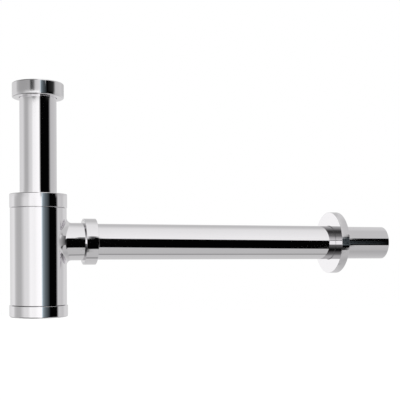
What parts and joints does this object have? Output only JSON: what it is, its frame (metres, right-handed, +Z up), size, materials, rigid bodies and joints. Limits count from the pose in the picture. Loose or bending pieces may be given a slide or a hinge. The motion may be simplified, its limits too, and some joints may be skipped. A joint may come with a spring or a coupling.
{
  "type": "bottle trap",
  "caption": "Chrome-plated bottle trap for a wash basin, with a telescopic inlet tube, a screw-off cleaning cup, a long outlet tube and a sliding wall flange.",
  "frame": {"origin": "centre of the inlet nut's mouth, where the basin waste screws in", "axes": "+Z up along the bottle's axis and out of the inlet nut; +X along the outlet tube towards the wall; +Y to the left of someone facing the wall"},
  "size_m": [0.3624, 0.0588, 0.2035],
  "materials": {
    "chrome": "bright chrome plate on brass",
    "black_rubber": "matt black rubber",
    "white_plastic": "white polypropylene"
  },
  "bodies": {
    "inlet_union": {"inlet_nut": "chrome"},
    "inlet_pipe": {"inlet_tube": "chrome", "inlet_washer": "black_rubber"},
    "height_seal": {"collar_seal": "black_rubber"},
    "bottle": {"trap_body": "chrome", "dip_tube": "white_plastic", "outlet_seal": "black_rubber"},
    "collar_ring": {"collar_slip_ring": "white_plastic"},
    "collar": {"collar_nut": "chrome"},
    "cup_ring": {"cup_o_ring": "black_rubber"},
    "cleaning_cup": {"cup": "chrome"},
    "outlet_ring": {"outlet_slip_ring": "white_plastic"},
    "outlet_union": {"outlet_nut": "chrome"},
    "outlet_pipe": {"outlet_tube": "chrome"},
    "flange_ring": {"flange_o_ring": "black_rubber"},
    "flange": {"wall_flange": "chrome"}
  },
  "joints": [
    {"name": "inlet_swivel", "type": "hinge", "parent": "inlet_union", "child": "inlet_pipe", "pos_m": [0, 0, -0.0104], "axis": [0, 0, 1], "continuous": true},
    {"name": "height_slide", "type": "slide", "parent": "inlet_pipe", "child": "height_seal", "axis": [0, 0, 1], "range_m": [-0.022, 0.04]},
    {"name": "bottle_swivel", "type": "hinge", "parent": "height_seal", "child": "bottle", "pos_m": [0, 0, -0.1], "axis": [0, 0, 1], "continuous": true},
    {"name": "collar_lift", "type": "slide", "parent": "bottle", "child": "collar_ring", "axis": [0, 0, 1], "range_m": [0, 0.006]},
    {"name": "collar_turn", "type": "hinge", "parent": "collar_ring", "child": "collar", "pos_m": [0, 0, -0.1], "axis": [0, 0, 1], "range_deg": [0, 1440]},
    {"name": "cup_drop", "type": "slide", "parent": "bottle", "child": "cup_ring", "axis": [0, 0, -1], "range_m": [0, 0.009]},
    {"name": "cup_turn", "type": "hinge", "parent": "cup_ring", "child": "cleaning_cup", "pos_m": [0, 0, -0.195], "axis": [0, 0, -1], "range_deg": [0, 2160]},
    {"name": "outlet_nut_travel", "type": "slide", "parent": "bottle", "child": "outlet_ring", "axis": [1, 0, 0], "range_m": [0, 0.006]},
    {"name": "outlet_nut_turn", "type": "hinge", "parent": "outlet_ring", "child": "outlet_union", "pos_m": [0.045, 0, -0.13765], "axis": [1, 0, 0], "range_deg": [0, 1440]},
    {"name": "outlet_tube_turn", "type": "hinge", "parent": "bottle", "child": "outlet_pipe", "pos_m": [0.045, 0, -0.13765], "axis": [1, 0, 0], "continuous": true},
    {"name": "flange_slide", "type": "slide", "parent": "outlet_pipe", "child": "flange_ring", "axis": [1, 0, 0], "range_m": [-0.22, 0.045]},
    {"name": "flange_turn", "type": "hinge", "parent": "flange_ring", "child": "flange", "pos_m": [0.2844, 0, -0.13765], "axis": [1, 0, 0], "continuous": true}
  ],
  "couplings": [
    {"joint": "collar_lift", "follows": "collar_turn", "m_per_rad": 0.00023873},
    {"joint": "cup_drop", "follows": "cup_turn", "m_per_rad": 0.00023873},
    {"joint": "outlet_nut_travel", "follows": "outlet_nut_turn", "m_per_rad": 0.00023873}
  ]
}
